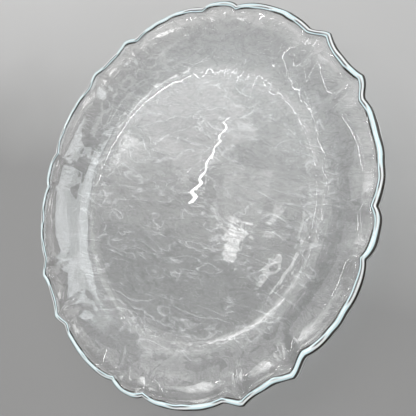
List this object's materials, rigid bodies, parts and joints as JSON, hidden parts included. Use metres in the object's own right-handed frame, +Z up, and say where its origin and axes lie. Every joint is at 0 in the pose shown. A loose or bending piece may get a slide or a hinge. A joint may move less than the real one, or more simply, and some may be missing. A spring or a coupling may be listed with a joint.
{
  "type": "charger plate",
  "caption": "Round clear glass charger plate with a flat well, a raised fluted rim and a scalloped rounded lip, set under a dinner plate or used to serve.",
  "frame": {"origin": "middle of the plate's round plan, at the level of its flat base, which is the table", "axes": "+Z up, out of the well; +X and +Y through the middles of two neighbouring short lobes of the edge"},
  "size_m": [0.33, 0.33, 0.027],
  "materials": {
    "glass": "clear pressed glass with a rippled surface"
  },
  "bodies": {
    "root": {"plate": "glass"}
  },
  "joints": []
}
